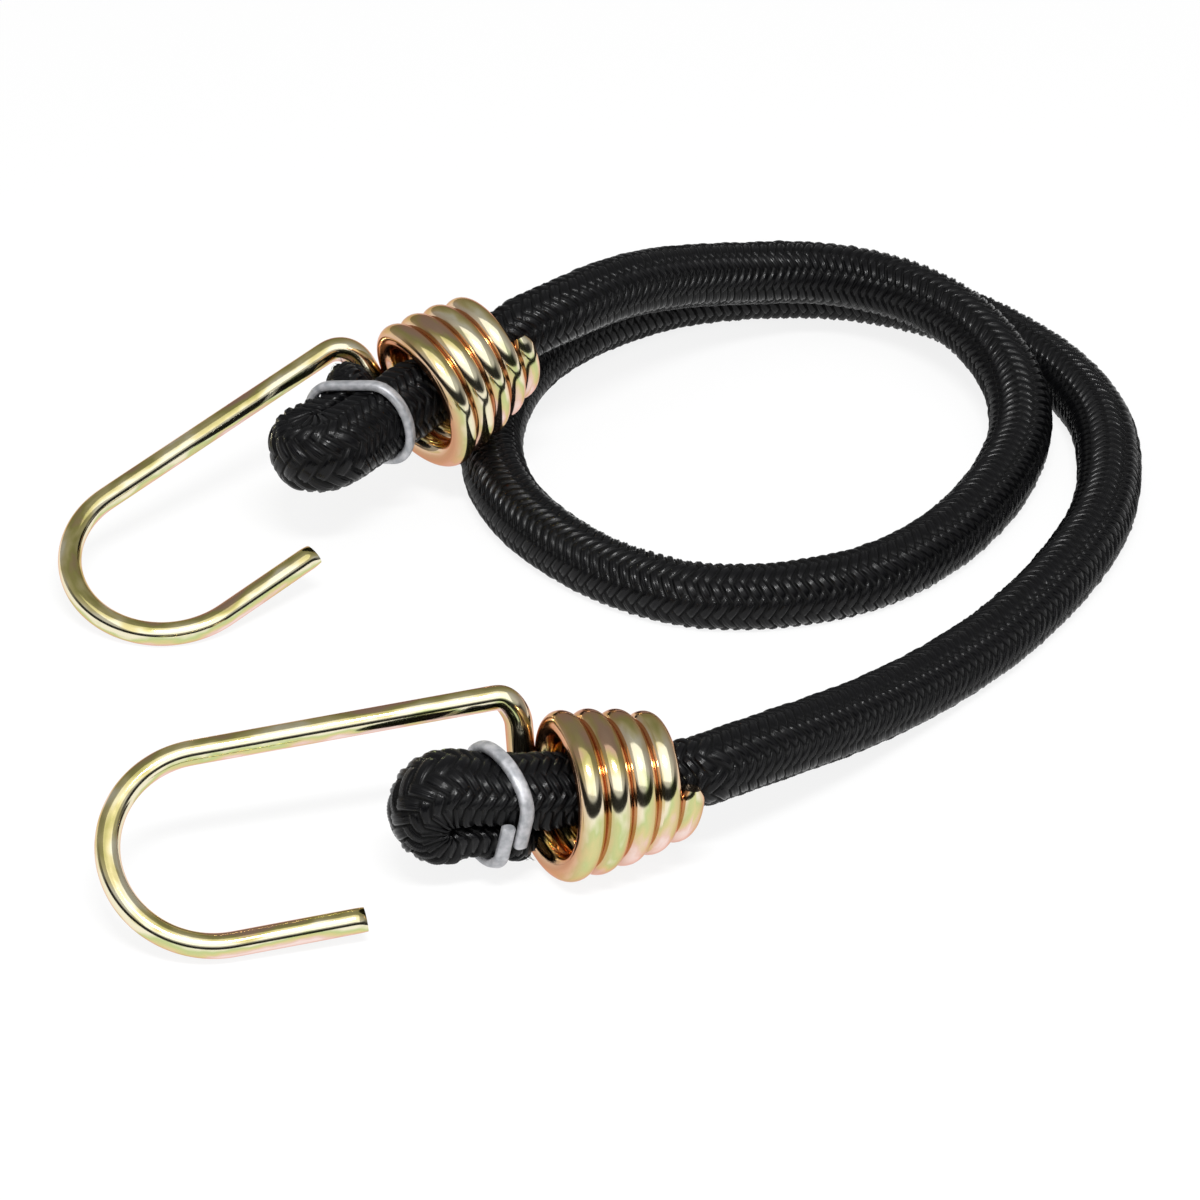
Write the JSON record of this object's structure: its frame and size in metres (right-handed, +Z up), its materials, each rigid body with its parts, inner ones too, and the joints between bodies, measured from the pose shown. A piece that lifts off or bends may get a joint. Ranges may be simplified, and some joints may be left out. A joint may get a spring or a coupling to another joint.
{
  "type": "bungee cord",
  "caption": "Elastic bungee cord in a black braided sheath over rubber strands, lying in a loose loop, with a plated wire hook coiled round each folded and crimped end.",
  "frame": {"origin": "on the table, under the middle of the two hooks and their rings", "axes": "+Z up from the table, +Y from the front hook to the rear hook, +X from the hooks towards the loop"},
  "size_m": [0.2078, 0.2381, 0.0386],
  "materials": {
    "braid": "black braided polyester, satin",
    "rubber": "natural rubber, matt",
    "yellow_zinc": "bright yellow zinc plating",
    "galvanised": "galvanised, satin"
  },
  "bodies": {
    "cord": {"braided_sheath": "braid", "rubber_strand_0": "rubber", "rubber_strand_1": "rubber", "rubber_strand_2": "rubber", "rubber_strand_3": "rubber", "rubber_strand_4": "rubber", "rubber_strand_5": "rubber", "rubber_strand_6": "rubber", "hog_ring_a": "galvanised", "hog_ring_b": "galvanised"},
    "hook_a": {"hook_a": "yellow_zinc"},
    "hook_b": {"hook_b": "yellow_zinc"}
  },
  "joints": [
    {"name": "hook_a_swivel", "type": "hinge", "parent": "cord", "child": "hook_a", "pos_m": [0.009, 0.068, 0.0232], "axis": [-0.7509, -0.6146, -0.2419], "continuous": true},
    {"name": "hook_b_swivel", "type": "hinge", "parent": "cord", "child": "hook_b", "pos_m": [0.0367, -0.0578, 0.01485], "axis": [-0.9671, -0.2501, -0.0471], "continuous": true}
  ]
}
